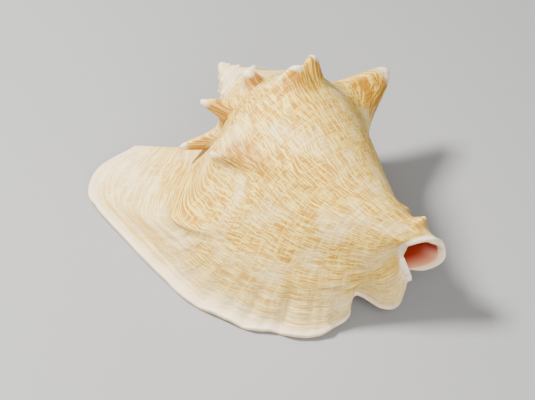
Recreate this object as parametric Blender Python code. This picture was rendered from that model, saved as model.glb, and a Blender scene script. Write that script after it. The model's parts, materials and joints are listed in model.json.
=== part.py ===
"""A conch shell lying on its opening, as one solid.

The shell is worked out in its own axes, in millimetres: the apex at the origin, +Y along the coil
axis to the apex, +Z out of the back and +X to the side away from the lip. One growth turn of the
coil is one unit of "growth", which ends at 0 near the lip, and "station" runs along a growth line
from the suture at 0, over the shoulder at 2, to the front canal at 9. Near the lip the surface
leaves the coil and spreads to the lip's edge, at FLARE_START on the suture and sooner below it.
"""
import math

import bmesh
import bpy
import numpy as np
from mathutils import Matrix, Vector
from mathutils.geometry import tessellate_polygon

MM = 0.001

# Driving sizes, in millimetres and degrees
WIDER_PER_TURN = 1.75
TALLER_PER_TURN = 1.55
LIP_ANGLE = -92.0
FLARE_START = -0.04
FLARE_SOONER = 0.10
FLARE_LENGTH = 100.0
COIL_LENGTH = 377.0
WALL = 4.0
LIP_WALL = 4.5
SPIRE_LEAN = (-6.0, 4.0)
CANAL_BEND = (20.0, 12.0)
BEND_FROM = -135.0
BEND_LENGTH = 68.0
AXIS_AZIMUTH = 122.5
AXIS_TILT = 8.0
SEAT_CUT = 0.5

# How finely the coil and the wall are divided
ROWS_PER_TURN = 30
CROWDING = 0.4
CROWDED_TURN = 0.45
SPIRE_TURNS = 4
CORE_END = -0.6
CANAL_HOLLOW = 0.15
WALL_START = -0.80
WALL_ROWS_PER_TURN = 36
FLARE_ROWS = 17

# One whorl half a turn before the lip: radius and height at stations 0 to 9
SUTURE_STATION = 3
WHORL = np.array([
    (29.6, -48.1), (41.0, -59.0), (52.0, -68.0), (51.8, -74.5), (49.0, -90.0),
    (42.0, -112.0), (33.0, -132.0), (24.0, -150.0), (13.0, -164.0), (0.5, -174.0)])

# The last whorl grows towards the canal: growth, then stations 1 to 9
LAST_WHORL = [
    (-0.82, (36, -50), (45, -59), (44, -66), (42, -80), (36, -101), (28, -124), (21, -149),
     (20, -172), (25, -190)),
    (-0.75, (37, -51), (46, -60), (45, -67), (43, -82), (37, -104), (29, -130), (21, -155),
     (18, -180), (20, -200)),
    (-0.50, (42, -58), (52, -68), (52, -75), (48, -90), (39, -114), (30, -140), (19, -165),
     (13, -186), (12, -202)),
    (-0.375, (38, -64), (46, -75), (47, -81), (47, -97), (42, -120), (34, -145), (22, -168),
     (14, -187), (11, -202)),
    (-0.25, (47, -65), (57, -77), (58, -83), (56, -100), (50, -126), (40, -150), (30, -172),
     (20, -190), (14, -202)),
    (-0.12, (50, -70), (60, -82), (61, -88), (61, -104), (57, -128), (47, -153), (36, -174),
     (25, -189), (16, -197)),
    (0.00, (54, -74), (64, -87), (66, -93), (67, -107), (64, -132), (55, -157), (44, -176),
     (31, -187), (18, -191)),
]

# The growth line halfway out on the flare, at stations 0 to 9
FLARE_MIDDLE = np.array([
    (-49, -33, -28), (-69, -52, -27), (-83, -79, -21), (-84, -100, -14), (-81, -118, -9),
    (-73, -138, -5), (-58, -161, -5), (-33, -182, -5), (-8, -193, 0), (12, -191, 5)], float)

# The lip's edge: station, place, and the way the surface is going there
LIP_EDGE = [
    (0.0, (-66, 1, -53), (-30, 25, -15)),
    (0.8, (-94, -1, -59), (-60, 35, -10)),
    (1.4, (-108, -14, -60), (-70, 25, -6)),
    (2.0, (-110, -27, -58), (-70, 10, -6)),
    (2.6, (-108, -40, -57), (-70, 0, -6)),
    (3.3, (-107, -67, -54), (-70, 0, -6)),
    (4.0, (-106, -91, -51), (-70, 0, -6)),
    (5.0, (-99, -132, -45), (-65, -10, -6)),
    (6.0, (-79, -169, -39), (-50, -25, -6)),
    (7.0, (-42, -197, -34), (-20, -35, -10)),
    (7.4, (-27, -196, -34), (-15, -25, -20)),
    (7.7, (-18, -187, -26), (-10, -20, -20)),
    (8.1, (-7, -202, -28), (-10, -15, -20)),
    (8.6, (7, -204, -26), (-8, -12, -20)),
    (8.8, (13, -198, -17), (-7, -8, -16)),
    (9.0, (10, -191, -4), (-6, -4, -10)),
]
# How hard the flare pulls along the coil where it starts, at stations 0 to 9
FLARE_PULL = np.array([60, 85, 95, 100, 100, 95, 85, 60, 35, 25], float)

# Knobs: angle, station, length, lean to the apex, widths at half length along growth, up and down,
# how blunt the tip is from 1 for a point, how far the lower side slants back along growth, and how
# much steeper the side to the lip is
LAST_KNOBS = [
    (83, 2.1, 34, 0.1, 10.5, 9.5, 20, 2.2, 0, 0),
    (16, 2.1, 11.5, 0.5, 5, 5, 7, 2.6, 0, 0),
    (2, 2.1, 7.5, 0.4, 9, 5, 9, 1.8, 0, 0),
    (-66, 2.3, 8, 0.2, 6, 3.5, 16, 1.1, 0.5, 0.6),
    (-188, 2.3, 5.5, 0.1, 8, 4, 16, 1.1, 0.5, 0.6),
    (133, 2.1, 37.6, 0.1, 9, 7.5, 13, 1.4, 0, 0),
    (218, 2.1, 8, 0.3, 5, 4.5, 7.2, 1.2, 0, 0),
    (48, 7.3, 3.5, 0.1, 6, 4, 4, 1.5, 0, 0),
    (24, 8.1, 7.5, 0.1, 5.5, 4, 3.5, 1.6, 0, 0),
]
EARLIER_KNOBS = [
    (-93, 2.1, 24, 0.25, 4.5, 4, 4.5, 2.6, 0, 0),
    (-57, 2.2, 19.5, 0.3, 4.2, 4.5, 5.5, 2.8, 0, 0),
    (-18, 2.3, 13, 0.1, 5.5, 5.5, 6, 3.2, 0, 0),
    (12, 2.1, -3, 0.3, 16, 9, 9, 2.0, 0, 0),
    (98, 2.1, 5, 0.3, 3.5, 3.5, 4, 1.2, 0, 0),
    (136, 2.1, 5, 0.2, 3.5, 3.5, 4, 1.2, 0, 0),
    (174, 2.1, 5, 0.2, 3, 3, 4, 1.2, 0, 0),
    (212, 2.1, 5, 0.2, 3, 3, 4, 1.2, 0, 0),
]
SPIRE_KNOBS_PER_TURN = 9


def coil_scale(growth):
    """The radius and height factors of the coil against the whorl half a turn back."""
    turns = np.asarray(growth, float) + 0.5
    return np.stack([WIDER_PER_TURN ** turns, TALLER_PER_TURN ** turns], -1)


def coil_angle(growth):
    """The angle round the axis, from the back towards +X, in radians."""
    return np.radians(LIP_ANGLE - 360.0 * np.asarray(growth, float))


def hermite(knots, values, x):
    """A smooth curve through values at knots; the values may be points."""
    knots = np.asarray(knots, float)
    values = np.asarray(values, float)
    x = np.clip(np.asarray(x, float), knots[0], knots[-1])
    slopes = np.gradient(values, knots, axis=0)
    i = np.clip(np.searchsorted(knots, x, side="right") - 1, 0, len(knots) - 2)
    gap = knots[i + 1] - knots[i]
    t = (x - knots[i]) / gap
    extra = t.shape + (1,) * (values.ndim - 1)
    return blend(t.reshape(extra), values[i], gap.reshape(extra) * slopes[i],
                 values[i + 1], gap.reshape(extra) * slopes[i + 1])


def blend(t, start, start_slope, end, end_slope):
    """The cubic from start to end."""
    return ((2 * t**3 - 3 * t**2 + 1) * start + (t**3 - 2 * t**2 + t) * start_slope
            + (3 * t**2 - 2 * t**3) * end + (t**3 - t**2) * end_slope)


def whorl_table():
    """The last whorl's control points by growth, each row starting on the suture."""
    rows = [(-1.0, WHORL * coil_scale(-1.0))]
    for growth, *points in LAST_WHORL:
        suture = WHORL[0] * coil_scale(growth)
        rows.append((growth, np.vstack([suture, np.array(points, float)])))
    return np.array([row[0] for row in rows]), np.array([row[1] for row in rows])


WHORL_GROWTH, WHORL_POINTS = whorl_table()
LAST_STATION = len(WHORL) - 1


def section(growth, station):
    """Radius and height at a growth and a station."""
    growth, station = np.broadcast_arrays(np.asarray(growth, float), np.asarray(station, float))
    flat_growth = growth.ravel()
    flat_station = station.ravel()
    spire = WHORL[None] * coil_scale(flat_growth)[:, None, :]
    last = hermite(WHORL_GROWTH, WHORL_POINTS, flat_growth)
    points = np.where((flat_growth < -1)[:, None, None], spire, last)
    i = np.clip(flat_station.astype(int), 0, LAST_STATION - 1)
    row = np.arange(len(flat_growth))
    before, start, end, after = (points[row, np.clip(i + k, 0, LAST_STATION)] for k in (-1, 0, 1, 2))
    start_slope = np.where((i > 0)[:, None], (end - before) / 2, end - start)
    end_slope = np.where((i < LAST_STATION - 1)[:, None], (after - start) / 2, end - start)
    out = blend((flat_station - i)[:, None], start, start_slope, end, end_slope)
    return out.reshape(growth.shape + (2,))


def ramp(x, start, end):
    """0 before start, 1 after end, smooth between."""
    t = np.clip((x - start) / (end - start), 0, 1)
    return t * t * (3 - 2 * t)


def place_on_coil(growth, radius, height):
    """A point of the coil, whose spire leans to the lip and up and whose canal bends away and up."""
    angle = coil_angle(growth)
    bend = np.clip((BEND_FROM - height) / BEND_LENGTH, 0, 1.3) ** 1.6
    lean = ramp(height, -60.0, 0.0)
    return np.stack([radius * np.sin(angle) + CANAL_BEND[0] * bend + SPIRE_LEAN[0] * lean, height,
                     radius * np.cos(angle) + CANAL_BEND[1] * bend + SPIRE_LEAN[1] * lean], -1)


def coil(growth, station):
    """The coil's outer surface, without knobs."""
    points = section(growth, station)
    return place_on_coil(np.broadcast_to(growth, points.shape[:-1]), points[..., 0], points[..., 1])


def travel(growth, coil_length):
    """The way along a growth, in millimetres, which runs slower on the flare."""
    on_coil = np.minimum(growth, FLARE_START) * coil_length
    return on_coil + np.maximum(growth - FLARE_START, 0) * FLARE_LENGTH


def smooth_surface(growth, station):
    """The whole outer surface without knobs: the coil, then the flare up to 1 past its start."""
    growth, station = np.broadcast_arrays(np.asarray(growth, float), np.asarray(station, float))
    leave = FLARE_START - FLARE_SOONER * ramp(station, 0.5, 2.5)
    begin = travel(leave, COIL_LENGTH)
    out = (travel(growth, COIL_LENGTH) - begin) / (travel(FLARE_START + 1, COIL_LENGTH) - begin)
    out = np.clip(out, 0, 1)[..., None]
    on_coil = coil(np.minimum(growth, leave), station)
    step = 0.001
    start = coil(leave, station)
    way = start - coil(leave - step, station)
    way /= np.linalg.norm(way, axis=-1, keepdims=True) + 1e-9
    stations = np.arange(LAST_STATION + 1)
    pull = hermite(stations, FLARE_PULL, station)[..., None]
    edge_at = [row[0] for row in LIP_EDGE]
    edge = hermite(edge_at, [row[1] for row in LIP_EDGE], station)
    edge_way = hermite(edge_at, [row[2] for row in LIP_EDGE], station)
    middle = hermite(stations, FLARE_MIDDLE, station)
    middle_way = (edge - start) * 0.5
    first = blend(2 * out, start, way * pull * 0.5, middle, middle_way)
    second = blend(2 * out - 1, middle, middle_way, edge, edge_way * 0.5)
    return np.where(out > 0, np.where(out < 0.5, first, second), on_coil)


def knob_list():
    """Every knob as its growth, then the rest of its row."""
    knobs = []
    for turn, rows in enumerate((LAST_KNOBS, EARLIER_KNOBS)):
        for angle, *rest in rows:
            knobs.append(((LIP_ANGLE - angle) / 360.0 - turn, *rest))
    for n in range(SPIRE_KNOBS_PER_TURN * (SPIRE_TURNS - 1)):
        growth = -1.97 - n / SPIRE_KNOBS_PER_TURN
        size = float(coil_scale(growth)[0])
        knobs.append((growth, 2.1, 6 * size, 0.2, 3 * size, 3 * size, 3.5 * size, 1.3, 0, 0))
    return knobs


def knob_push(growth, station):
    """How far the knobs push the surface out."""
    growth, station = np.broadcast_arrays(np.asarray(growth, float), np.asarray(station, float))
    push = np.zeros(growth.shape + (3,))
    profile = section(np.minimum(growth, 0), station)
    for at, at_station, length, lean, along, up, down, blunt, slant, steep in knob_list():
        near = np.abs(growth - at) < 0.3
        if not near.any():
            continue
        centre = section(np.array(at), np.array(at_station))
        coil_length = 2 * math.pi * centre[0]
        offset = profile - centre
        y = np.sign(station - at_station) * np.hypot(offset[..., 0], offset[..., 1])
        x = travel(growth, coil_length) - travel(at, coil_length) + slant * np.maximum(y, 0)
        away = np.hypot(x / np.where(x > 0, along * (1 - steep), along),
                        y / np.where(y > 0, down, up))
        shape = 0.5 ** away**blunt * (1 - ramp(away, 2.4, 4.0))
        angle = coil_angle(min(at, 0.0))
        way = np.array([math.sin(angle), lean, math.cos(angle)])
        way /= np.linalg.norm(way)
        push += np.where(near, length * shape, 0)[..., None] * way
    return push


def outward(growth, station):
    """The unit normal of the smooth surface, pointing out."""
    step = 0.002
    last = LAST_STATION
    low = np.clip(station - step, 0, last)
    high = np.clip(station + step, 0, last)
    along = smooth_surface(growth + step, station) - smooth_surface(growth - step, station)
    across = smooth_surface(growth, high) - smooth_surface(growth, low)
    normal = np.cross(along, across)
    return normal / (np.linalg.norm(normal, axis=-1, keepdims=True) + 1e-12)


def new_object(name, points, faces, collection):
    """A mesh object from points in the shell's own millimetres."""
    mesh = bpy.data.meshes.new(name)
    mesh.from_pydata([tuple(p * MM) for p in points], [], faces)
    shell = bmesh.new()
    shell.from_mesh(mesh)
    bmesh.ops.recalc_face_normals(shell, faces=shell.faces)
    bmesh.ops.triangulate(shell, faces=shell.faces)
    shell.to_mesh(mesh)
    shell.free()
    made = bpy.data.objects.new(name, mesh)
    collection.objects.link(made)
    return made


def build_core(collection):
    """The spire and the body behind the opening, solid to the axis."""
    n = ROWS_PER_TURN
    turns_back = SPIRE_TURNS + 1
    rows = turns_back * n + 1
    turns = np.arange(rows)[::-1] / n
    crowd = np.sin(2 * math.pi * (turns - CROWDED_TURN)) + math.sin(2 * math.pi * CROWDED_TURN)
    growth = CORE_END - turns + CROWDING / (2 * math.pi) * crowd
    ribbon = [0, 0.5, 1, 1.5, 2, 2.5, SUTURE_STATION]
    stations = np.array(ribbon + [3.5, 4, 4.5, 5, 5.5, 6, 6.5, 7, 7.5, 8, 8.5, 9], float)
    suture = len(ribbon) - 1
    columns = len(stations)
    g, s = np.meshgrid(growth, stations, indexing="ij")
    s = s * (1 - CANAL_HOLLOW * ramp(g, -1.0, -0.82) * ramp(s, 4, LAST_STATION))
    surface = coil(g, s) + knob_push(g, s) * (1 - ramp(g, -0.74, -0.70))[..., None]
    sink = 2.0 * ramp(g, -0.76, -0.69) * ramp(s, 0, 0.6)
    surface -= sink[..., None] * outward(g, s)
    end_height = section(growth, s[:, -1])[:, 1] - 2.0 - 6.0 * ramp(growth, -1.0, -0.5)
    axis = place_on_coil(growth, np.zeros(rows), end_height)

    points = []
    index = np.full((rows, columns + 1), -1)
    for i in range(rows):
        in_last_turn = i >= rows - 1 - n
        for j in range(columns + 1 if in_last_turn else suture + 1):
            if j == 0 and i >= n:
                index[i, 0] = index[i - n, suture]
                continue
            index[i, j] = len(points)
            points.append(axis[i] if j == columns else surface[i, j])
    faces = []
    for i in range(rows - 1):
        for j in range(columns if i >= rows - 1 - n else suture):
            a, b, c, d = index[i, j], index[i + 1, j], index[i + 1, j + 1], index[i, j + 1]
            faces += [[a, b, c], [a, c, d]] if j == columns - 1 else [[a, b, c, d]]

    apex = len(points)
    points.append(np.array([SPIRE_LEAN[0], surface[:n, 0, 1].mean() + 1.0, SPIRE_LEAN[1]]))
    rim = [index[i, 0] for i in range(n + 1)] + [index[0, j] for j in range(suture - 1, 0, -1)]
    for a, b in zip(rim, rim[1:] + rim[:1]):
        faces.append([a, b, apex])

    last = rows - 1
    first = rows - 1 - n
    loop = [(last, j) for j in range(columns + 1)]
    loop += [(i, columns) for i in range(last - 1, first - 1, -1)]
    loop += [(first, j) for j in range(columns - 1, suture, -1)]
    flat = []
    for i, j in loop:
        if j == columns:
            flat.append(Vector((0.0, end_height[i], 0.0)))
        else:
            profile = section(growth[i], s[i, j])
            flat.append(Vector((profile[0], profile[1], 0.0)))
    for triangle in tessellate_polygon([flat]):
        faces.append([index[loop[k]] for k in triangle])
    return new_object("core", points, faces, collection)


def build_wall(collection):
    """The last whorl's wall and the flared lip, hollow underneath and open to the canal."""
    coil_rows = round((FLARE_START - WALL_START) * WALL_ROWS_PER_TURN)
    growth = np.concatenate([np.linspace(WALL_START, FLARE_START, coil_rows, endpoint=False),
                             FLARE_START + np.linspace(0, 1, FLARE_ROWS + 1)])
    stations = np.concatenate([np.arange(0, 4, 0.25), np.arange(4, 6, 0.5), np.arange(6, 9.1, 0.2)])
    g, s = np.meshgrid(growth, stations, indexing="ij")
    start = 1 - ramp(g, WALL_START, -0.74)
    s = s * (1 - 0.05 * start)
    outer = smooth_surface(g, s)
    normal = outward(np.minimum(g, FLARE_START + 0.998), s)
    thickness = WALL + (LIP_WALL - WALL) * ramp(g, 0, FLARE_START + 1)
    sunk = 2.5 * start * ramp(s, 0, 0.6)
    inner = outer - (thickness + sunk)[..., None] * normal
    outer = outer + knob_push(g, s) - sunk[..., None] * normal

    rows, columns = g.shape
    points = list(outer.reshape(-1, 3)) + list(inner.reshape(-1, 3))
    count = rows * columns
    faces = []
    for i in range(rows - 1):
        for j in range(columns - 1):
            a, b = i * columns + j, (i + 1) * columns + j
            faces.append([a, b, b + 1, a + 1])
            faces.append([count + a, count + a + 1, count + b + 1, count + b])

    rim = [(i, 0) for i in range(rows)] + [(rows - 1, j) for j in range(1, columns)]
    rim += [(i, columns - 1) for i in range(rows - 2, -1, -1)]
    rim += [(0, j) for j in range(columns - 2, 0, -1)]
    middle = (outer + inner) / 2
    edge = []
    for i, j in rim:
        way = np.zeros(3)
        if j == 0:
            way += unit(middle[i, 0] - middle[i, 1])
        if j == columns - 1:
            way += unit(middle[i, j] - middle[i, j - 1])
        if i == rows - 1:
            way += unit(middle[i, j] - middle[i - 1, j])
        buried = j == 0 and growth[i] < FLARE_START
        reach = WALL if buried else 0.45 * thickness[i, j]
        edge.append(len(points))
        points.append(middle[i, j] + reach * unit(way))
    for k in range(len(rim)):
        m = (k + 1) % len(rim)
        a = rim[k][0] * columns + rim[k][1]
        b = rim[m][0] * columns + rim[m][1]
        faces.append([a, b, edge[m], edge[k]])
        faces.append([count + a, edge[k], edge[m], count + b])
    return new_object("wall", points, faces, collection)


def unit(v):
    """The vector at length 1, or as it is if it has none."""
    length = np.linalg.norm(v)
    return v / length if length > 0 else v


def drop_double_faces(mesh):
    """Remove faces that lie on each other with the same corners, which leave nothing between them."""
    by_corners = {}
    for face in mesh.faces:
        by_corners.setdefault(frozenset(face.verts), []).append(face)
    double = [face for faces in by_corners.values() if len(faces) > 1 for face in faces]
    bmesh.ops.delete(mesh, geom=double, context="FACES")


def lie_down(shell):
    """Turn the shell onto its opening and cut small flats where it rests."""
    azimuth = math.radians(AXIS_AZIMUTH)
    tilt = math.radians(AXIS_TILT)
    along = Vector((math.cos(azimuth) * math.cos(tilt), math.sin(azimuth) * math.cos(tilt),
                    math.sin(tilt)))
    back = Vector((0, 0, 1)) - along * along.z
    back.normalize()
    side = along.cross(back)
    shell.data.transform(Matrix((side, along, back)).transposed().to_4x4())
    low = min(v.co.z for v in shell.data.vertices)
    shell.data.transform(Matrix.Translation((0, 0, -low - SEAT_CUT * MM)))

    mesh = bmesh.new()
    mesh.from_mesh(shell.data)
    cut = bmesh.ops.bisect_plane(mesh, geom=mesh.verts[:] + mesh.edges[:] + mesh.faces[:],
                                 dist=1e-7, plane_co=(0, 0, 0), plane_no=(0, 0, 1),
                                 clear_inner=True)
    rim = [e for e in cut["geom_cut"] if isinstance(e, bmesh.types.BMEdge)]
    bmesh.ops.holes_fill(mesh, edges=rim)
    bmesh.ops.remove_doubles(mesh, verts=mesh.verts, dist=5e-6)
    bmesh.ops.dissolve_degenerate(mesh, dist=5e-6, edges=mesh.edges)
    bmesh.ops.triangulate(mesh, faces=mesh.faces)
    drop_double_faces(mesh)
    mesh.to_mesh(shell.data)
    mesh.free()

    xs = [v.co.x for v in shell.data.vertices]
    ys = [v.co.y for v in shell.data.vertices]
    centre = Matrix.Translation((-(min(xs) + max(xs)) / 2, -(min(ys) + max(ys)) / 2, 0))
    shell.data.transform(centre)


def shell_material():
    """Cream-white shell with a slight gloss."""
    made = bpy.data.materials.new("shell")
    made.use_nodes = True
    surface = made.node_tree.nodes["Principled BSDF"]
    surface.inputs["Base Color"].default_value = (0.83, 0.70, 0.50, 1.0)
    surface.inputs["Roughness"].default_value = 0.5
    surface.inputs["Metallic"].default_value = 0.0
    return made


def main():
    for old in list(bpy.data.objects):
        bpy.data.objects.remove(old, do_unlink=True)
    collection = bpy.data.collections.new("conch_shell")
    bpy.context.scene.collection.children.link(collection)

    core = build_core(collection)
    wall = build_wall(collection)
    join = core.modifiers.new("join", "BOOLEAN")
    join.operation = "UNION"
    join.solver = "MANIFOLD"
    join.object = wall
    joined = bpy.data.meshes.new_from_object(
        core.evaluated_get(bpy.context.evaluated_depsgraph_get()))
    joined.name = "shell"
    shell = bpy.data.objects.new("shell", joined)
    collection.objects.link(shell)
    for used in (core, wall):
        bpy.data.objects.remove(used, do_unlink=True)

    lie_down(shell)
    shell.data.materials.clear()
    shell.data.materials.append(shell_material())
    shell.data.shade_smooth()
    shell.data.set_sharp_from_angle(angle=math.radians(50))


main()
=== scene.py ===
"""A conch shell resting on its opening on a pale floor, seen from above the edge of its lip.

The shell is worked out again in its own axes, in millimetres, as the CAD part is, but finely and
with its folds: the apex at the origin, +Y along the coil axis to the apex, +Z out of the back and
+X to the side away from the lip. One growth turn of the coil is one unit of "growth", which ends at
0 near the lip, and "station" runs along a growth line from the suture at 0, over the shoulder at 2,
to the front canal at 9. Every vertex keeps where it is on the shell, and the material reads that.
"""
import json
import math

import bmesh
import bpy
import numpy as np
from mathutils import Matrix, Vector
from mathutils.geometry import tessellate_polygon
from mathutils.kdtree import KDTree

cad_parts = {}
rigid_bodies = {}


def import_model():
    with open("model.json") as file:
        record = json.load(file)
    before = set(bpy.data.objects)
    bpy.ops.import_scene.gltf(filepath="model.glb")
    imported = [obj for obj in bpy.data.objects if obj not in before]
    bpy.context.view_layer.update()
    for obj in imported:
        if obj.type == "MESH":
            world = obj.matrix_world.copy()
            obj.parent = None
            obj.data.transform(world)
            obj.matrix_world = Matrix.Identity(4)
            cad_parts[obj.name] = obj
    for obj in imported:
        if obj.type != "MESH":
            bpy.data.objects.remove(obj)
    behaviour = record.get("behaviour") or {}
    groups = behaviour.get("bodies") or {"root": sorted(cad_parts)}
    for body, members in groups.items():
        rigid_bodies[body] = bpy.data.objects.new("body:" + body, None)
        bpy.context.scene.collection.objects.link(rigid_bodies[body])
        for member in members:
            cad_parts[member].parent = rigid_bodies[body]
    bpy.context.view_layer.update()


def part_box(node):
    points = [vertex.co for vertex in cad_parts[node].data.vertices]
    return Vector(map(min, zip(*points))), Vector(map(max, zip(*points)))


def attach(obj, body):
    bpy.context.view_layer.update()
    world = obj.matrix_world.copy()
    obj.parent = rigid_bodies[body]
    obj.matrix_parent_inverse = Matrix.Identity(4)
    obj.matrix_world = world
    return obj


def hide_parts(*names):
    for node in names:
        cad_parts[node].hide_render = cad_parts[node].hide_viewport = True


MM = 0.001

# Creases across the lip: station, width in stations, depth in millimetres, and where each starts
LIP_CREASES = [
    (4.55, 0.12, 1.0, 0.50), (5.10, 0.10, 1.0, 0.45), (5.50, 0.08, 1.1, 0.50),
    (5.85, 0.10, 2.2, 0.35), (6.12, 0.05, 0.9, 0.60), (6.34, 0.08, 2.8, 0.35),
    (6.70, 0.05, 1.2, 0.30), (6.86, 0.05, 1.2, 0.30), (7.13, 0.08, 2.2, 0.35),
]
# How far the lip's edge reaches past its smooth line: station, millimetres
EDGE_WAVES = [(0.0, 0.0), (1.0, 0.6), (1.8, -1.4), (2.6, 0.4), (3.4, -1.2), (4.4, -2.2), (5.0, -1.4),
              (5.5, -2.6), (6.0, -1.2), (6.28, -3.0), (6.50, -1.2), (6.85, -1.5), (7.1, -3.2),
              (7.3, -3.4), (7.7, -1.5), (8.3, -1.0), (9.0, -3.0)]

# Driving sizes, in millimetres and degrees
WIDER_PER_TURN = 1.75
TALLER_PER_TURN = 1.55
LIP_ANGLE = -92.0
FLARE_START = -0.04
FLARE_LENGTH = 100.0
COIL_LENGTH = 377.0
WALL = 4.0
LIP_WALL = 4.5
AXIS_AZIMUTH = 122.5
AXIS_TILT = 8.0
# How much growth sooner the flare leaves the coil, and the stations over which that comes in
FLARE_SOONER = 0.10
SOONER_STATIONS = (0.5, 2.5)
# How far the spire leans across the axis, and from which height up
SPIRE_LEAN = (-6.0, 4.0)
LEAN_FROM = -60.0
# How far the canal bends across the axis, from which height down, and how that grows
CANAL_BEND = (20.0, 12.0)
BEND_FROM = -135.0
BEND_LENGTH = 68.0
BEND_MOST = 1.3
BEND_POWER = 1.6

# The core: its turns, its last growth, and how much its growth lines shorten in the canal
SPIRE_TURNS = 4
CORE_END = -0.6
CANAL_HOLLOW = 0.15
# Growths between which the wall comes to cover the core: its knobs fade and it sinks, in millimetres
CORE_KNOBS_FADE = (-0.74, -0.70)
CORE_SINKS = (-0.76, -0.69)
CORE_SINK = 2.0
# Where the core lies in the opening: by growth and station together, or by station alone
LINED_GROWTHS = (-1.02, -0.80)
LINED_STATIONS = (0.2, 1.8)
ALWAYS_LINED = (4.2, 4.6)

# The wall: the growth where it starts, the one where it has come out of the core, and how deep it
# starts, in millimetres
WALL_START = -0.80
WALL_OUT = -0.74
WALL_SINK = 2.5
# Stations over which sinking comes in below the suture
SUTURE_FADE = 0.6
# The wall's normals on the flare are taken just inside its edge
LAST_NORMAL = 0.998
# How far the rounded rim stands out, as a share of the thickness
RIM_REACH = 0.45

# How finely the core and the wall are divided
CORE_ROWS_PER_TURN = 96
RIBBON_COLUMNS = 22
BODY_COLUMNS = 40
WALL_ROWS_PER_TURN = 150
FLARE_ROWS = 84
# The wall's columns: up to which station, and how many to there
WALL_COLUMNS = [(4.0, 67), (5.6, 23), (9.0, 65)]
RIM_STEPS = 4

# How high the outside's relief stands, and how far apart its waves are, in millimetres
FOLD_HEIGHT = 0.35
FOLD_SPACING = 13.0
CORD_HEIGHT = 0.13
CORD_SPACING = 5.2
STEP_HEIGHT = 0.13
VARIX_HEIGHT = 0.40
WAVE_HEIGHT = 0.7
LUMP_HEIGHT = 0.30
# The spire's steps: their height in millimetres, and how many stations apart they are
SPIRE_STEP_HEIGHT = 0.25
SPIRE_STEP_APART = 0.5

# One whorl half a turn before the lip: radius and height at stations 0 to 9
SUTURE_STATION = 3
WHORL = np.array([
    (29.6, -48.1), (41.0, -59.0), (52.0, -68.0), (51.8, -74.5), (49.0, -90.0),
    (42.0, -112.0), (33.0, -132.0), (24.0, -150.0), (13.0, -164.0), (0.5, -174.0)])

# The last whorl grows towards the canal: growth, then stations 1 to 9
LAST_WHORL = [
    (-0.82, (36, -50), (45, -59), (44, -66), (42, -80), (36, -101), (28, -124), (21, -149),
     (20, -172), (25, -190)),
    (-0.75, (37, -51), (46, -60), (45, -67), (43, -82), (37, -104), (29, -130), (21, -155),
     (18, -180), (20, -200)),
    (-0.50, (42, -58), (52, -68), (52, -75), (48, -90), (39, -114), (30, -140), (19, -165),
     (13, -186), (12, -202)),
    (-0.375, (38, -64), (46, -75), (47, -81), (47, -97), (42, -120), (34, -145), (22, -168),
     (14, -187), (11, -202)),
    (-0.25, (47, -65), (57, -77), (58, -83), (56, -100), (50, -126), (40, -150), (30, -172),
     (20, -190), (14, -202)),
    (-0.12, (50, -70), (60, -82), (61, -88), (61, -104), (57, -128), (47, -153), (36, -174),
     (25, -189), (16, -197)),
    (0.00, (54, -74), (64, -87), (66, -93), (67, -107), (64, -132), (55, -157), (44, -176),
     (31, -187), (18, -191)),
]

# The growth line halfway out on the flare, at stations 0 to 9
FLARE_MIDDLE = np.array([
    (-49, -33, -28), (-69, -52, -27), (-83, -79, -21), (-84, -100, -14), (-81, -118, -9),
    (-73, -138, -5), (-58, -161, -5), (-33, -182, -5), (-8, -193, 0), (12, -191, 5)], float)

# The lip's edge: station, place, and the way the surface is going there
LIP_EDGE = [
    (0.0, (-66, 1, -53), (-30, 25, -15)),
    (0.8, (-94, -1, -59), (-60, 35, -10)),
    (1.4, (-108, -14, -60), (-70, 25, -6)),
    (2.0, (-110, -27, -58), (-70, 10, -6)),
    (2.6, (-108, -40, -57), (-70, 0, -6)),
    (3.3, (-107, -67, -54), (-70, 0, -6)),
    (4.0, (-106, -91, -51), (-70, 0, -6)),
    (5.0, (-99, -132, -45), (-65, -10, -6)),
    (6.0, (-79, -169, -39), (-50, -25, -6)),
    (7.0, (-42, -197, -34), (-20, -35, -10)),
    (7.4, (-27, -196, -34), (-15, -25, -20)),
    (7.7, (-18, -187, -26), (-10, -20, -20)),
    (8.1, (-7, -202, -28), (-10, -15, -20)),
    (8.6, (7, -204, -26), (-8, -12, -20)),
    (8.8, (13, -198, -17), (-7, -8, -16)),
    (9.0, (10, -191, -4), (-6, -4, -10)),
]
# How hard the flare pulls along the coil where it starts, at stations 0 to 9
FLARE_PULL = np.array([60, 85, 95, 100, 100, 95, 85, 60, 35, 25], float)

# Knobs: angle, station, length, lean to the apex, widths at half length along growth, up and down,
# how blunt the tip is from 1 for a point, how far the lower side slants back along growth, and how
# much steeper the side to the lip is
LAST_KNOBS = [
    (83, 2.1, 34, 0.1, 10.5, 9.5, 20, 2.2, 0, 0),
    (16, 2.1, 11.5, 0.5, 5, 5, 7, 2.6, 0, 0),
    (2, 2.1, 7.5, 0.4, 9, 5, 9, 1.8, 0, 0),
    (-66, 2.3, 8, 0.2, 6, 3.5, 16, 1.1, 0.5, 0.6),
    (-188, 2.3, 5.5, 0.1, 8, 4, 16, 1.1, 0.5, 0.6),
    (133, 2.1, 37.6, 0.1, 9, 7.5, 13, 1.4, 0, 0),
    (218, 2.1, 8, 0.3, 5, 4.5, 7.2, 1.2, 0, 0),
    (48, 7.3, 3.5, 0.1, 6, 4, 4, 1.5, 0, 0),
    (24, 8.1, 7.5, 0.1, 5.5, 4, 3.5, 1.6, 0, 0),
]
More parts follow.
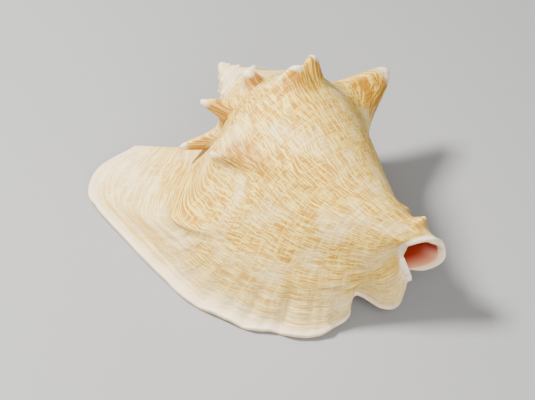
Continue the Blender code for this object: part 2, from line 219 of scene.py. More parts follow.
EARLIER_KNOBS = [
    (-93, 2.1, 24, 0.25, 4.5, 4, 4.5, 2.6, 0, 0),
    (-57, 2.2, 19.5, 0.3, 4.2, 4.5, 5.5, 2.8, 0, 0),
    (-18, 2.3, 13, 0.1, 5.5, 5.5, 6, 3.2, 0, 0),
    (12, 2.1, -3, 0.3, 16, 9, 9, 2.0, 0, 0),
    (98, 2.1, 5, 0.3, 3.5, 3.5, 4, 1.2, 0, 0),
    (136, 2.1, 5, 0.2, 3.5, 3.5, 4, 1.2, 0, 0),
    (174, 2.1, 5, 0.2, 3, 3, 4, 1.2, 0, 0),
    (212, 2.1, 5, 0.2, 3, 3, 4, 1.2, 0, 0),
]
# The spire's small knobs: the first one's growth, then the station, lean and bluntness of all
SPIRE_KNOBS_PER_TURN = 9
FIRST_SPIRE_KNOB = -1.97
SHOULDER = 2.1
SPIRE_KNOB_LEAN = 0.2
SPIRE_KNOB_BLUNT = 1.3
# Their length and their widths along growth, up and down, for a whorl half a turn before the lip
SPIRE_KNOB_SIZES = np.array([6.0, 3.0, 3.0, 3.5])
# How far from a knob in growth it still counts, and over how many half widths it fades out
KNOB_NEAR = 0.3
KNOB_FADE = (2.4, 4.0)
# Knob lengths over which a worn tip and the painted shade on the lower side come in
TIP_LENGTHS = (5.0, 7.0)
SHADE_LENGTHS = (5.0, 8.0)


def coil_scale(growth):
    """The radius and height factors of the coil against the whorl half a turn back."""
    turns = np.asarray(growth, float) + 0.5
    return np.stack([WIDER_PER_TURN ** turns, TALLER_PER_TURN ** turns], -1)


def coil_angle(growth):
    """The angle round the axis, from the back towards +X, in radians."""
    return np.radians(LIP_ANGLE - 360.0 * np.asarray(growth, float))


def hermite(knots, values, x):
    """A smooth curve through values at knots; the values may be points."""
    knots = np.asarray(knots, float)
    values = np.asarray(values, float)
    x = np.clip(np.asarray(x, float), knots[0], knots[-1])
    slopes = np.gradient(values, knots, axis=0)
    i = np.clip(np.searchsorted(knots, x, side="right") - 1, 0, len(knots) - 2)
    gap = knots[i + 1] - knots[i]
    t = (x - knots[i]) / gap
    extra = t.shape + (1,) * (values.ndim - 1)
    return blend(t.reshape(extra), values[i], gap.reshape(extra) * slopes[i],
                 values[i + 1], gap.reshape(extra) * slopes[i + 1])


def blend(t, start, start_slope, end, end_slope):
    """The cubic from start to end."""
    return ((2 * t**3 - 3 * t**2 + 1) * start + (t**3 - 2 * t**2 + t) * start_slope
            + (3 * t**2 - 2 * t**3) * end + (t**3 - t**2) * end_slope)


def whorl_table():
    """The last whorl's control points by growth, each row starting on the suture."""
    rows = [(-1.0, WHORL * coil_scale(-1.0))]
    for growth, *points in LAST_WHORL:
        suture = WHORL[0] * coil_scale(growth)
        rows.append((growth, np.vstack([suture, np.array(points, float)])))
    return np.array([row[0] for row in rows]), np.array([row[1] for row in rows])


WHORL_GROWTH, WHORL_POINTS = whorl_table()
LAST_STATION = len(WHORL) - 1


def section(growth, station):
    """Radius and height at a growth and a station."""
    growth, station = np.broadcast_arrays(np.asarray(growth, float), np.asarray(station, float))
    flat_growth = growth.ravel()
    flat_station = station.ravel()
    spire = WHORL[None] * coil_scale(flat_growth)[:, None, :]
    last = hermite(WHORL_GROWTH, WHORL_POINTS, flat_growth)
    points = np.where((flat_growth < -1)[:, None, None], spire, last)
    i = np.clip(flat_station.astype(int), 0, LAST_STATION - 1)
    row = np.arange(len(flat_growth))
    before, start, end, after = (points[row, np.clip(i + k, 0, LAST_STATION)] for k in (-1, 0, 1, 2))
    start_slope = np.where((i > 0)[:, None], (end - before) / 2, end - start)
    end_slope = np.where((i < LAST_STATION - 1)[:, None], (after - start) / 2, end - start)
    out = blend((flat_station - i)[:, None], start, start_slope, end, end_slope)
    return out.reshape(growth.shape + (2,))


def ramp(x, start, end):
    """0 before start, 1 after end, smooth between."""
    t = np.clip((x - start) / (end - start), 0, 1)
    return t * t * (3 - 2 * t)


def place_on_coil(growth, radius, height):
    """A point of the coil, whose spire leans to the lip and up and whose canal bends away and up."""
    angle = coil_angle(growth)
    bend = np.clip((BEND_FROM - height) / BEND_LENGTH, 0, BEND_MOST) ** BEND_POWER
    lean = ramp(height, LEAN_FROM, 0.0)
    return np.stack([radius * np.sin(angle) + CANAL_BEND[0] * bend + SPIRE_LEAN[0] * lean, height,
                     radius * np.cos(angle) + CANAL_BEND[1] * bend + SPIRE_LEAN[1] * lean], -1)


def coil(growth, station):
    """The coil's outer surface, without knobs."""
    points = section(growth, station)
    return place_on_coil(np.broadcast_to(growth, points.shape[:-1]), points[..., 0], points[..., 1])


def travel(growth, coil_length):
    """The way along a growth, in millimetres, which runs slower on the flare."""
    on_coil = np.minimum(growth, FLARE_START) * coil_length
    return on_coil + np.maximum(growth - FLARE_START, 0) * FLARE_LENGTH


def smooth_surface(growth, station):
    """The whole outer surface without knobs: the coil, then the flare up to 1 past its start."""
    growth, station = np.broadcast_arrays(np.asarray(growth, float), np.asarray(station, float))
    leave = FLARE_START - FLARE_SOONER * ramp(station, *SOONER_STATIONS)
    begin = travel(leave, COIL_LENGTH)
    out = (travel(growth, COIL_LENGTH) - begin) / (travel(FLARE_START + 1, COIL_LENGTH) - begin)
    out = np.clip(out, 0, 1)[..., None]
    on_coil = coil(np.minimum(growth, leave), station)
    step = 0.001
    start = coil(leave, station)
    way = start - coil(leave - step, station)
    way /= np.linalg.norm(way, axis=-1, keepdims=True) + 1e-9
    stations = np.arange(LAST_STATION + 1)
    pull = hermite(stations, FLARE_PULL, station)[..., None]
    edge_at = [row[0] for row in LIP_EDGE]
    edge = hermite(edge_at, [row[1] for row in LIP_EDGE], station)
    edge_way = hermite(edge_at, [row[2] for row in LIP_EDGE], station)
    middle = hermite(stations, FLARE_MIDDLE, station)
    middle_way = (edge - start) * 0.5
    first = blend(2 * out, start, way * pull * 0.5, middle, middle_way)
    second = blend(2 * out - 1, middle, middle_way, edge, edge_way * 0.5)
    return np.where(out > 0, np.where(out < 0.5, first, second), on_coil)


def knob_list():
    """Every knob as its growth, then the rest of its row."""
    knobs = []
    for turn, rows in enumerate((LAST_KNOBS, EARLIER_KNOBS)):
        for angle, *rest in rows:
            knobs.append(((LIP_ANGLE - angle) / 360.0 - turn, *rest))
    for n in range(SPIRE_KNOBS_PER_TURN * (SPIRE_TURNS - 1)):
        growth = FIRST_SPIRE_KNOB - n / SPIRE_KNOBS_PER_TURN
        length, *widths = SPIRE_KNOB_SIZES * coil_scale(growth)[0]
        knobs.append((growth, SHOULDER, length, SPIRE_KNOB_LEAN, *widths, SPIRE_KNOB_BLUNT, 0, 0))
    return knobs


def knob_shapes(growth, station):
    """Each knob near the points: its way out, its length, its shape from 0 to 1, and how low on it."""
    growth, station = np.broadcast_arrays(np.asarray(growth, float), np.asarray(station, float))
    profile = section(np.minimum(growth, 0), station)
    for at, at_station, length, lean, along, up, down, blunt, slant, steep in knob_list():
        near = np.abs(growth - at) < KNOB_NEAR
        if not near.any():
            continue
        centre = section(np.array(at), np.array(at_station))
        coil_length = 2 * math.pi * centre[0]
        offset = profile - centre
        y = np.sign(station - at_station) * np.hypot(offset[..., 0], offset[..., 1])
        x = travel(growth, coil_length) - travel(at, coil_length) + slant * np.maximum(y, 0)
        away = np.hypot(x / np.where(x > 0, along * (1 - steep), along),
                        y / np.where(y > 0, down, up))
        shape = 0.5 ** away**blunt * (1 - ramp(away, *KNOB_FADE))
        angle = coil_angle(min(at, 0.0))
        way = np.array([math.sin(angle), lean, math.cos(angle)])
        way /= np.linalg.norm(way)
        yield way, length, np.where(near, shape, 0), y / down


def knob_push(growth, station):
    """How far the knobs push the surface out."""
    push = np.zeros(np.broadcast(growth, station).shape + (3,))
    for way, length, shape, _ in knob_shapes(growth, station):
        push += (length * shape)[..., None] * way
    return push


def outward(growth, station):
    """The unit normal of the smooth surface, pointing out."""
    step = 0.002
    low = np.clip(station - step, 0, LAST_STATION)
    high = np.clip(station + step, 0, LAST_STATION)
    along = smooth_surface(growth + step, station) - smooth_surface(growth - step, station)
    across = smooth_surface(growth, high) - smooth_surface(growth, low)
    normal = np.cross(along, across)
    return normal / (np.linalg.norm(normal, axis=-1, keepdims=True) + 1e-12)


# What each vertex keeps, one column each
# The fourth column is where shade is painted on the knobs' lower sides
ALONG, ACROSS, TIP, KNOB_SHADE, INSIDE, FLARE = range(6)


def along_mm(growth):
    """The way along the coil from its end, in millimetres, shorter on the small whorls."""
    growth = np.asarray(growth, float)
    last = travel(np.maximum(growth, -1.0), COIL_LENGTH)
    rate = math.log(WIDER_PER_TURN)
    spire = (WIDER_PER_TURN ** (np.minimum(growth, -1.0) + 1.0) - 1.0) / rate
    return last + COIL_LENGTH * spire


def across_table():
    """The way down a growth line, in millimetres, at stations 0 to 9."""
    fine = np.linspace(0, LAST_STATION, 181)
    profile = section(np.full_like(fine, -0.25), fine)
    steps = np.hypot(*np.diff(profile, axis=0).T)
    return fine, np.concatenate([[0.0], np.cumsum(steps)])


ACROSS_STATIONS, ACROSS_MM = across_table()


def across_mm(growth, station):
    """The way down a growth line from the suture, in millimetres."""
    scale = WIDER_PER_TURN ** np.minimum(np.asarray(growth, float) + 1.0, 0.0)
    return np.interp(station, ACROSS_STATIONS, ACROSS_MM) * scale


def window(x, start, full, fade, end):
    """1 between full and fade, 0 outside start and end."""
    return ramp(x, start, full) * (1 - ramp(x, fade, end))


def relief(growth, station):
    """How far the folds, cords and wrinkles lift the outside, in millimetres."""
    along = along_mm(growth)
    across = across_mm(growth, station)
    out = np.clip(growth - FLARE_START, 0, 1)
    sway = 0.5 * np.sin(along / 23.0) + 0.5 * np.sin(along / 11.0 + station)
    lift = np.zeros_like(along)
    for at, width, depth, start in LIP_CREASES:
        crease = np.exp(-((station - at + 0.02 * sway) / width) ** 2)
        lift -= depth * crease * ramp(out, start, start + 0.35)
    fold_turns = (across + 2.0 * sway) / FOLD_SPACING
    folds = np.cos(2 * math.pi * fold_turns + 0.6 * np.sin(across / 19.0))
    lift += FOLD_HEIGHT * folds * window(station, 2.2, 2.8, 5.2, 5.6) * ramp(out, 0.2, 0.6)
    bands = along + 1.2 * np.sin(across / 7.0) + 2.0 * np.sin(across / 31.0)
    steps = np.sin(bands / 1.13) + np.sin(bands / 1.71 + 1.0) + np.sin(bands / 2.9 + 2.0)
    patch = 0.5 + 0.5 * np.sin(across / 13.0 + along / 37.0) * np.sin(across / 29.0 + 1.0)
    lift += STEP_HEIGHT * steps * patch * ramp(out, 0.2, 0.7)
    varices = np.sin(bands / 1.9 + 1.5 * np.sin(across / 23.0)) * (0.6 + 0.4 * np.sin(bands / 5.0))
    lift += VARIX_HEIGHT * varices * window(station, -1.0, 0.2, 3.8, 5.0) * ramp(out, 0.25, 0.6)
    waves = np.sin(along / 3.6 + 1.0) + 0.6 * np.sin(along / 2.1)
    lift += WAVE_HEIGHT * waves * window(station, -1.0, 0.0, 1.4, 2.4) * ramp(out, 0.3, 0.6)
    cords = np.cos(2 * math.pi * (across + 0.6 * np.sin(along / 17.0)) / CORD_SPACING)
    lift += CORD_HEIGHT * cords * ramp(growth, -1.0, -0.9) * (1 - 0.6 * ramp(out, 0.5, 1.0))
    lumps = np.sin(along / 9.0 + across / 14.0) * np.sin(across / 11.0 - along / 31.0)
    lift += LUMP_HEIGHT * lumps * ramp(growth, -1.2, -0.8)
    return lift


def edge_wave(station):
    """How far the lip's edge reaches past its smooth line, in millimetres."""
    at, reach = np.array(EDGE_WAVES).T
    return hermite(at, reach, station)


def knob_marks(growth, station):
    """How near a point is to a knob's worn tip and to its lower side's painted shade, each 0 to 1."""
    tip = np.zeros(np.broadcast(growth, station).shape)
    under = np.zeros_like(tip)
    for _, length, shape, low in knob_shapes(growth, station):
        tip = np.maximum(tip, shape * float(ramp(length, *TIP_LENGTHS)))
        # Painted shade on each big knob's lower side, full partway down and gone at its tip and its
        # foot
        side = ramp(low, 0.05, 0.5) * window(shape, 0.06, 0.3, 0.8, 0.97)
        under = np.maximum(under, side * float(ramp(length, *SHADE_LENGTHS)))
    return tip, under


def build_core():
    """The spire and the body behind the opening: points, faces and what each point keeps."""
    n = CORE_ROWS_PER_TURN
    rows = (SPIRE_TURNS + 1) * n + 1
    growth = CORE_END - (np.arange(rows)[::-1]) / n
    ribbon = np.linspace(0, SUTURE_STATION, RIBBON_COLUMNS)
    body = np.linspace(SUTURE_STATION, LAST_STATION, BODY_COLUMNS)
    stations = np.concatenate([ribbon, body[1:]])
    suture = len(ribbon) - 1
    columns = len(stations)
    g, s = np.meshgrid(growth, stations, indexing="ij")
    s = s * (1 - CANAL_HOLLOW * ramp(g, -1.0, -0.82) * ramp(s, 4, LAST_STATION))
    shown = 1 - ramp(g, *CORE_KNOBS_FADE)
    steps = SPIRE_STEP_HEIGHT * np.cos(2 * math.pi * s / SPIRE_STEP_APART)
    steps = steps * window(s, 0.2, 0.5, 2.4, 2.8) * window(g, -5.0, -4.0, -1.5, -1.3)
    surface = coil(g, s) + knob_push(g, s) * shown[..., None] + steps[..., None] * outward(g, s)
    sink = CORE_SINK * ramp(g, *CORE_SINKS) * ramp(s, 0, SUTURE_FADE)
    surface -= sink[..., None] * outward(g, s)
    end_height = section(growth, s[:, -1])[:, 1] - 2.0 - 6.0 * ramp(growth, -1.0, -0.5)
    axis = place_on_coil(growth, np.zeros(rows), end_height)
    lined = np.maximum(ramp(g, *LINED_GROWTHS) * ramp(s, *LINED_STATIONS), ramp(s, *ALWAYS_LINED))
    tip, under = knob_marks(g, s)
    kept = np.stack([along_mm(g), across_mm(g, s), tip * shown, under * shown, lined,
                     np.zeros_like(g)], -1)

    points = []
    values = []
    index = np.full((rows, columns + 1), -1)
    for i in range(rows):
        in_last_turn = i >= rows - 1 - n
        for j in range(columns + 1 if in_last_turn else suture + 1):
            if j == 0 and i >= n:
                index[i, 0] = index[i - n, suture]
                continue
            index[i, j] = len(points)
            points.append(axis[i] if j == columns else surface[i, j])
            values.append(kept[i, min(j, columns - 1)])
    faces = []
    for i in range(rows - 1):
        for j in range(columns if i >= rows - 1 - n else suture):
            a, b, c, d = index[i, j], index[i + 1, j], index[i + 1, j + 1], index[i, j + 1]
            faces += [[a, b, c], [a, c, d]] if j == columns - 1 else [[a, b, c, d]]

    apex = len(points)
    points.append(np.array([SPIRE_LEAN[0], surface[:n, 0, 1].mean() + 1.0, SPIRE_LEAN[1]]))
    values.append(kept[0, 0])
    rim = [index[i, 0] for i in range(n + 1)] + [index[0, j] for j in range(suture - 1, 0, -1)]
    for a, b in zip(rim, rim[1:] + rim[:1]):
        faces.append([a, b, apex])

    last = rows - 1
    first = rows - 1 - n
    loop = [(last, j) for j in range(columns + 1)]
    loop += [(i, columns) for i in range(last - 1, first - 1, -1)]
    loop += [(first, j) for j in range(columns - 1, suture, -1)]
    flat = []
    for i, j in loop:
        if j == columns:
            flat.append(Vector((0.0, end_height[i], 0.0)))
        else:
            profile = section(growth[i], s[i, j])
            flat.append(Vector((profile[0], profile[1], 0.0)))
    for triangle in tessellate_polygon([flat]):
        faces.append([index[loop[k]] for k in triangle])
    return np.array(points), faces, np.array(values)


def build_wall():
    """The last whorl's wall and the flared lip: points, faces and what each point keeps."""
    coil_rows = round((FLARE_START - WALL_START) * WALL_ROWS_PER_TURN)
    growth = np.concatenate([np.linspace(WALL_START, FLARE_START, coil_rows, endpoint=False),
                             FLARE_START + np.linspace(0, 1, FLARE_ROWS + 1)])
    stations = [0.0]
    for end, steps in WALL_COLUMNS:
        stations += list(np.linspace(stations[-1], end, steps + 1)[1:])
    g, s = np.meshgrid(growth, stations, indexing="ij")
    start = 1 - ramp(g, WALL_START, WALL_OUT)
    s = s * (1 - 0.05 * start)
    smooth = smooth_surface(g, s)
    normal = outward(np.minimum(g, FLARE_START + LAST_NORMAL), s)
    thickness = WALL + (LIP_WALL - WALL) * ramp(g, 0, FLARE_START + 1)
    sunk = WALL_SINK * start * ramp(s, 0, SUTURE_FADE)
    lift = relief(g, s) * (1 - start) * ramp(s, 0, 0.5)
    inner = smooth - (thickness + sunk - 0.5 * lift)[..., None] * normal
    outer = smooth + knob_push(g, s) + (lift - sunk)[..., None] * normal
    flare = np.clip(g - FLARE_START, 0, 1)
    outward_way = smooth[-1] - smooth[-6]
    outward_way /= np.linalg.norm(outward_way, axis=-1, keepdims=True)
    edge_reach = (edge_wave(s) * ramp(flare, 0.7, 1.0))[..., None] * outward_way
    inner = inner + edge_reach
    outer = outer + edge_reach
    tip, under = knob_marks(g, s)
    kept = np.stack([along_mm(g), across_mm(g, s), tip, under, np.zeros_like(g), flare], -1)

    rows, columns = g.shape
    count = rows * columns
    points = [outer.reshape(-1, 3), inner.reshape(-1, 3)]
    kept_inner = kept.copy()
    in_flare = ramp(g, FLARE_START - 0.02, FLARE_START + 0.03)
    kept_inner[..., INSIDE] = np.maximum(ramp(s, 0.3, 0.6), in_flare)
    kept_inner[..., [TIP, KNOB_SHADE]] = 0.0
    columns_kept = kept.shape[-1]
    values = [kept.reshape(-1, columns_kept), kept_inner.reshape(-1, columns_kept)]
    faces = []
    for i in range(rows - 1):
        for j in range(columns - 1):
            a, b = i * columns + j, (i + 1) * columns + j
            faces.append([a, b, b + 1, a + 1])
            faces.append([count + a, count + a + 1, count + b + 1, count + b])

    rim = [(i, 0) for i in range(rows)] + [(rows - 1, j) for j in range(1, columns)]
    rim += [(i, columns - 1) for i in range(rows - 2, -1, -1)]
    rim += [(0, j) for j in range(columns - 2, 0, -1)]
    rings = [[i * columns + j for i, j in rim]]
    turns = np.linspace(0, math.pi, RIM_STEPS + 2)[1:-1]
    new_points = np.zeros((RIM_STEPS, len(rim), 3))
    new_values = np.zeros((RIM_STEPS, len(rim), columns_kept))
    for k, (i, j) in enumerate(rim):
        middle = (outer[i, j] + inner[i, j]) / 2
        half = (outer[i, j] - inner[i, j]) / 2
        way = np.zeros(3)
        if j == 0:
            way += unit(middle - (outer[i, 1] + inner[i, 1]) / 2)
        if j == columns - 1:
            way += unit(middle - (outer[i, j - 1] + inner[i, j - 1]) / 2)
        if i == rows - 1:
            way += unit(middle - (outer[i - 1, j] + inner[i - 1, j]) / 2)
        if i == 0 and 0 < j < columns - 1:
            way += unit(middle - (outer[1, j] + inner[1, j]) / 2) * 0.01
        buried = j == 0 and growth[i] < FLARE_START
        reach = WALL if buried else RIM_REACH * thickness[i, j]
        for m, turn in enumerate(turns):
            new_points[m, k] = middle + half * math.cos(turn) + reach * math.sin(turn) * unit(way)
            new_values[m, k] = kept[i, j]
            new_values[m, k, [TIP, KNOB_SHADE]] = 0.0
            new_values[m, k, INSIDE] = 0.0 if buried else turn / math.pi
    for m in range(RIM_STEPS):
        first = 2 * count + m * len(rim)
        rings.append(list(range(first, first + len(rim))))
        points.append(new_points[m])
        values.append(new_values[m])
    rings.append([count + i * columns + j for i, j in rim])
    for near, far in zip(rings, rings[1:]):
        for k in range(len(rim)):
            m = (k + 1) % len(rim)
            faces.append([near[k], near[m], far[m], far[k]])
    return np.concatenate(points), faces, np.concatenate(values)


def unit(v):
    """The vector at length 1, or as it is if it has none."""
    length = np.linalg.norm(v)
    return v / length if length > 0 else v


def mesh_object(name, points, faces):
    """A closed mesh object with its faces pointing out."""
    mesh = bpy.data.meshes.new(name)
    mesh.from_pydata((points * MM).tolist(), [], faces)
    work = bmesh.new()
    work.from_mesh(mesh)
    bmesh.ops.recalc_face_normals(work, faces=work.faces)
    bmesh.ops.triangulate(work, faces=work.faces)
    work.to_mesh(mesh)
    work.free()
    made = bpy.data.objects.new(name, mesh)
    bpy.context.scene.collection.objects.link(made)
    return made


def keep_values(mesh, points, values):
    """Give each vertex of the joined mesh what the nearest point it came from kept."""
    tree = KDTree(len(points))
    for i, point in enumerate(points * MM):
        tree.insert(point, i)
    tree.balance()
    nearest = [tree.find(v.co)[1] for v in mesh.vertices]
    kept = values[nearest]
    grain = mesh.attributes.new("grain", "FLOAT_VECTOR", "POINT")
    along_across = np.stack([kept[:, ALONG], kept[:, ACROSS], np.zeros(len(kept))], -1)
    grain.data.foreach_set("vector", along_across.astype(np.float32).ravel())
    # The under layer carries the painted shade on the knobs' lower sides
    for name, column in (("tip", TIP), ("under", KNOB_SHADE), ("inside", INSIDE), ("flare", FLARE)):
        layer = mesh.attributes.new(name, "FLOAT", "POINT")
        layer.data.foreach_set("value", kept[:, column].astype(np.float32))


def lie_down(mesh, high):
    """Turn the shell onto its opening, to where the CAD part lies."""
    azimuth = math.radians(AXIS_AZIMUTH)
    tilt = math.radians(AXIS_TILT)
    along = Vector((math.cos(azimuth) * math.cos(tilt), math.sin(azimuth) * math.cos(tilt),
                    math.sin(tilt)))
    back = Vector((0, 0, 1)) - along * along.z
    back.normalize()
    side = along.cross(back)
    mesh.transform(Matrix((side, along, back)).transposed().to_4x4())
    places = np.array([v.co[:] for v in mesh.vertices])
    mesh.transform(Matrix.Translation(np.array(high) - places.max(0)))
    for v in mesh.vertices:
        v.co.z = max(v.co.z, 0.0)


def build_shell():
    """The finished shell where the CAD part lies."""
    core_points, core_faces, core_values = build_core()
    wall_points, wall_faces, wall_values = build_wall()
    core = mesh_object("core", core_points, core_faces)
    wall = mesh_object("wall", wall_points, wall_faces)
    join = core.modifiers.new("join", "BOOLEAN")
    join.operation = "UNION"
    join.solver = "MANIFOLD"
    join.object = wall
    joined = bpy.data.meshes.new_from_object(
        core.evaluated_get(bpy.context.evaluated_depsgraph_get()))
    joined.name = "conch"
    for used in (core, wall):
        bpy.data.objects.remove(used, do_unlink=True)
    keep_values(joined, np.concatenate([core_points, wall_points]),
                np.concatenate([core_values, wall_values]))
    lie_down(joined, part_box("shell")[1])
    joined.shade_smooth()
    made = bpy.data.objects.new("conch", joined)
    bpy.context.scene.collection.objects.link(made)
    return made


class Nodes:
    """A short way to add and join shader nodes."""

    def __init__(self, name):
        self.material = bpy.data.materials.new(name)
        self.material.use_nodes = True
        self.tree = self.material.node_tree
        self.shader = self.tree.nodes["Principled BSDF"]

    def add(self, kind, inputs=None, **settings):
        """A node with its settings and inputs, where an input is a value or another socket."""
        node = self.tree.nodes.new(kind)
        for key, value in settings.items():
            setattr(node, key, value)
        for key, value in (inputs or {}).items():
            self.put(node.inputs[key], value)
        return node

    def put(self, socket, value):
        """Set a socket to a value, or link another socket to it."""
        if isinstance(value, bpy.types.NodeSocket):
            self.tree.links.new(value, socket)
        else:
            socket.default_value = value

    def read(self, name, vector=False):
        """A vertex value by name."""
        node = self.add("ShaderNodeAttribute", attribute_type="GEOMETRY", attribute_name=name)
        return node.outputs["Vector" if vector else "Fac"]

    def math(self, operation, a, b=0.0, clamp=False):
        """One sum of two values."""
        return self.add("ShaderNodeMath", {0: a, 1: b}, operation=operation,
                        use_clamp=clamp).outputs[0]

    def ramp(self, value, start, end, low=0.0, high=1.0):
        """A smooth step between two values."""
        node = self.add("ShaderNodeMapRange",
                        {"Value": value, "From Min": start, "From Max": end, "To Min": low,
                         "To Max": high}, interpolation_type="SMOOTHSTEP")
        return node.outputs["Result"]

    def stretch(self, vector, scale):
        """A vector with each part scaled."""
        return self.add("ShaderNodeVectorMath", {0: vector, 1: scale},
                        operation="MULTIPLY").outputs[0]

    def noise(self, vector, detail=2.0, roughness=0.5):
        """A noise value round 0.5."""
        node = self.add("ShaderNodeTexNoise", {"Vector": vector, "Scale": 1.0, "Detail": detail,
                                               "Roughness": roughness})
        return node.outputs["Fac"]

    def mix(self, share, a, b):
        """Two colours mixed, by the share of the second."""
        node = self.add("ShaderNodeMix", data_type="RGBA")
        self.put(node.inputs[0], share)
        self.put(node.inputs[6], a)
        self.put(node.inputs[7], b)
        return node.outputs[2]


def colour(red, green, blue):
    """A colour given as it looks on screen, 0 to 255, as the shader's linear values."""
    linear = [((v / 255 + 0.055) / 1.055) ** 2.4 if v > 10 else v / 255 / 12.92
              for v in (red, green, blue)]
    return (*linear, 1.0)


# The shell's colours
CREAM = colour(250, 220, 112)
WHITE = colour(252, 236, 202)
GOLD = colour(190, 130, 0)
TAN = colour(240, 194, 40)
PINK_WHITE = colour(250, 224, 190)
DEEP_RED = colour(130, 20, 0)
ROSE = colour(146, 44, 26)
PALE_PINK = colour(240, 172, 132)
SALMON = colour(242, 186, 128)
# Dark gold for the painted shade on the knobs' lower sides
PAINTED_SHADE_GOLD = colour(168, 112, 0)
# Where along the coil the canal's floor ends, and where down a growth line its rim and edge start
CANAL_FLOOR = -215.0
CANAL_RIM = 156.0
CANAL_EDGE = 166.5
# Where along the coil the spire's fainter colours give way to the body's
SPIRE_FAINT = -560.0
BODY_STRONG = -380.0
# How fast each pattern changes along the coil and down a growth line, for each millimetre
WANDER_GRAIN = (0.05, 0.05, 1.0)
DASH_GRAIN = (0.92, 0.085, 1.0)
FINE_GRAIN = (1.9, 0.16, 1.0)
CORD_GRAIN = (0.08, 0.60, 1.0)
REGION_GRAIN = (0.030, 0.035, 1.0)
STREAK_GRAIN = (0.16, 0.035, 1.0)
# How far the patterns wander along the coil and down a growth line, in millimetres
WANDER = (9.0, 5.0)


def shell_material():
    """Cream shell with golden dashes along its growth lines, and a glossy red to pink lining."""
    n = Nodes("conch_shell")
    grain = n.read("grain", vector=True)
    tip = n.read("tip")
    under = n.read("under")
    inside = n.read("inside")
    flare = n.read("flare")
    place = n.add("ShaderNodeSeparateXYZ", {0: grain})
    along = place.outputs[0]
    across = place.outputs[1]

    wander = n.noise(n.stretch(grain, WANDER_GRAIN), detail=3.0)
    shift = n.add("ShaderNodeCombineXYZ", {0: n.math("MULTIPLY", wander, WANDER[0]),
                                          1: n.math("MULTIPLY", wander, WANDER[1])})
    laid = n.add("ShaderNodeVectorMath", {0: grain, 1: shift.outputs[0]},
                 operation="ADD").outputs[0]
    lines = n.noise(n.stretch(laid, DASH_GRAIN), roughness=0.55)
    fine_lines = n.noise(n.stretch(laid, FINE_GRAIN), detail=1.0)
    cords = n.noise(n.stretch(laid, CORD_GRAIN), detail=1.0)
    region = n.noise(n.stretch(laid, REGION_GRAIN))

    # The markings are stronger in some regions, and weaker on the lip and the spire
    strength = n.ramp(region, 0.34, 0.56, 0.55, 1.0)
    strength = n.math("MULTIPLY", strength, n.ramp(flare, 0.2, 0.9, 1.0, 0.5))
    on_body = n.ramp(along, SPIRE_FAINT, BODY_STRONG, 0.25, 1.0)
    strength = n.math("MULTIPLY", strength, on_body)
    dashes = n.math("MULTIPLY", n.ramp(lines, 0.45, 0.52), n.ramp(cords, 0.36, 0.48, 0.5, 1.0))
    dashes = n.math("MULTIPLY", dashes, strength, clamp=True)
    streaks = n.noise(n.stretch(laid, STREAK_GRAIN), detail=3.0, roughness=0.6)
    streaks = n.math("MULTIPLY", n.ramp(streaks, 0.54, 0.66), strength)
    wash = n.math("MULTIPLY", n.ramp(fine_lines, 0.42, 0.60), strength)

    outside = n.mix(strength, WHITE, CREAM)
    outside = n.mix(n.math("MULTIPLY", wash, 0.45), outside, TAN)
    outside = n.mix(n.math("MULTIPLY", streaks, 0.7), outside, TAN)
    outside = n.mix(n.math("MULTIPLY", dashes, 0.95), outside, GOLD)
    outside = n.mix(n.ramp(flare, 0.90, 1.0, 0.0, 0.8), outside, PINK_WHITE)
    # Painted shade: the knobs' lower sides are darkened to dark gold, broken up by the dash lines
    painted_knob_shade = n.math("MULTIPLY", under, n.ramp(lines, 0.40, 0.55, 0.45, 0.95))
    outside = n.mix(painted_knob_shade, outside, PAINTED_SHADE_GOLD)
    outside = n.mix(n.ramp(tip, 0.74, 0.92, 0.0, 0.95), outside, WHITE)
    outside = n.mix(n.ramp(across, CANAL_EDGE - 4.0, CANAL_EDGE - 1.5, 0.0, 0.9), outside, WHITE)

    # The lining is pale at the lip, at the canal's edge and on the lobe beside it
    lining = n.mix(n.ramp(flare, 0.0, 0.9), DEEP_RED, PALE_PINK)
    floor_share = n.ramp(along, CANAL_FLOOR - 20.0, CANAL_FLOOR + 25.0, 1.0, 0.0)
    canal_floor = n.mix(n.ramp(across, CANAL_RIM + 2.0, CANAL_RIM + 13.0), ROSE, PALE_PINK)
    canal_floor = n.mix(n.ramp(across, 95.0, 135.0), SALMON, canal_floor)
    lining = n.mix(floor_share, lining, canal_floor)
    edge = n.ramp(across, CANAL_EDGE - 1.5, CANAL_EDGE, 0.0, 0.8)
    lining = n.mix(edge, lining, PINK_WHITE)
    lobe = n.math("MULTIPLY", n.ramp(flare, 0.3, 0.6), n.ramp(across, 160.0, 163.5))
    lining = n.mix(lobe, lining, WHITE)
    n.put(n.shader.inputs["Base Color"], n.mix(n.ramp(inside, 0.55, 0.95), outside, lining))

    rough = n.math("MULTIPLY", fine_lines, 0.2)
    rough = n.math("ADD", rough, n.ramp(inside, 0.4, 0.8, 0.42, 0.15))
    n.put(n.shader.inputs["Roughness"], rough)

    height = n.math("ADD", n.math("MULTIPLY", cords, 0.6), n.math("MULTIPLY", fine_lines, 0.5))
    height = n.math("ADD", height, n.math("MULTIPLY", lines, 0.4))
    height = n.math("MULTIPLY", height, n.ramp(inside, 0.2, 0.6, 1.0, 0.05))
    bump = n.add("ShaderNodeBump", {"Strength": 0.8, "Distance": 0.001, "Height": height})
    n.put(n.shader.inputs["Normal"], bump.outputs[0])
    n.shader.inputs["IOR"].default_value = 1.5
    n.shader.inputs["Specular IOR Level"].default_value = 0.35
    return n.material


# Half the floor's side in metres, and its grey
FLOOR_HALF = 3.0
FLOOR_GREY = (0.30, 0.30, 0.30, 1.0)


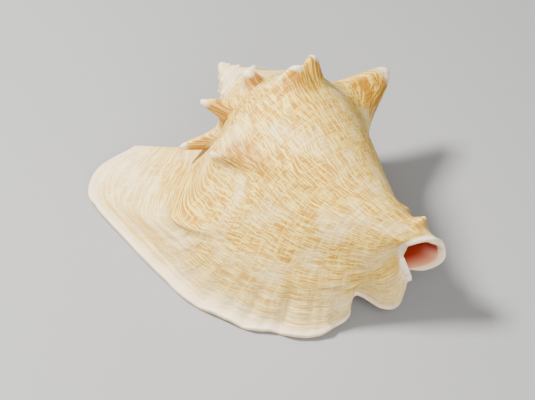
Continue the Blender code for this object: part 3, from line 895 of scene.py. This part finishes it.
def floor():
    """A plain pale floor under the shell."""
    half = FLOOR_HALF
    corners = [(-half, -half, 0), (half, -half, 0), (half, half, 0), (-half, half, 0)]
    mesh = bpy.data.meshes.new("floor")
    mesh.from_pydata(corners, [], [(0, 1, 2, 3)])
    made = bpy.data.objects.new("floor", mesh)
    bpy.context.scene.collection.objects.link(made)
    n = Nodes("floor")
    n.shader.inputs["Base Color"].default_value = FLOOR_GREY
    n.shader.inputs["Roughness"].default_value = 0.7
    mesh.materials.append(n.material)


# Where the lamps point, in metres
LIT_PLACE = (0.0, 0.0, 0.05)


def aim(thing, at):
    """Point a lamp or camera at a place."""
    thing.rotation_euler = (Vector(at) - thing.location).to_track_quat("-Z", "Y").to_euler()


def lamp(name, place, size, power, tint):
    """A soft square lamp aimed at the shell: its place and side in metres, its power in watts."""
    light = bpy.data.lights.new(name, "AREA")
    light.shape = "SQUARE"
    light.size = size
    light.energy = power
    light.color = tint
    made = bpy.data.objects.new(name, light)
    bpy.context.scene.collection.objects.link(made)
    made.location = place
    aim(made, LIT_PLACE)


def lights():
    """Soft studio light from above, stronger from the left."""
    world = bpy.data.worlds.new("studio")
    world.use_nodes = True
    sky = world.node_tree.nodes["Background"]
    sky.inputs["Color"].default_value = (1.0, 0.98, 0.95, 1.0)
    sky.inputs["Strength"].default_value = 0.28
    bpy.context.scene.world = world
    lamp("key", place=(-0.60, 0.10, 1.0), size=0.25, power=42.0, tint=(1.0, 0.985, 0.96))
    lamp("fill", place=(0.3, -0.9, 0.8), size=0.9, power=18.0, tint=(1.0, 1.0, 1.0))


# The photograph's camera: where it looks, from how high and how far, in metres and degrees
CAMERA_TARGET = (0.00583, -0.00931, 0.04122)
CAMERA_ELEVATION = 45.0
CAMERA_DISTANCE = 0.950
PIXELS_WIDE = 535
FOCAL_PIXELS = 1520.0


def camera():
    """The photograph's camera."""
    lens = bpy.data.cameras.new("camera")
    lens.sensor_fit = "HORIZONTAL"
    lens.sensor_width = 36.0
    lens.lens = lens.sensor_width * FOCAL_PIXELS / PIXELS_WIDE
    lens.clip_start = 0.05
    lens.clip_end = 20.0
    made = bpy.data.objects.new("camera", lens)
    bpy.context.scene.collection.objects.link(made)
    rise = math.radians(CAMERA_ELEVATION)
    back = Vector((0, -math.cos(rise), math.sin(rise)))
    made.location = Vector(CAMERA_TARGET) + back * CAMERA_DISTANCE
    aim(made, CAMERA_TARGET)
    bpy.context.scene.camera = made


for old in list(bpy.data.objects):
    bpy.data.objects.remove(old, do_unlink=True)
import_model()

camera()
lights()
floor()
conch = build_shell()
conch.data.materials.clear()
conch.data.materials.append(shell_material())
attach(conch, "root")
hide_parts("shell")
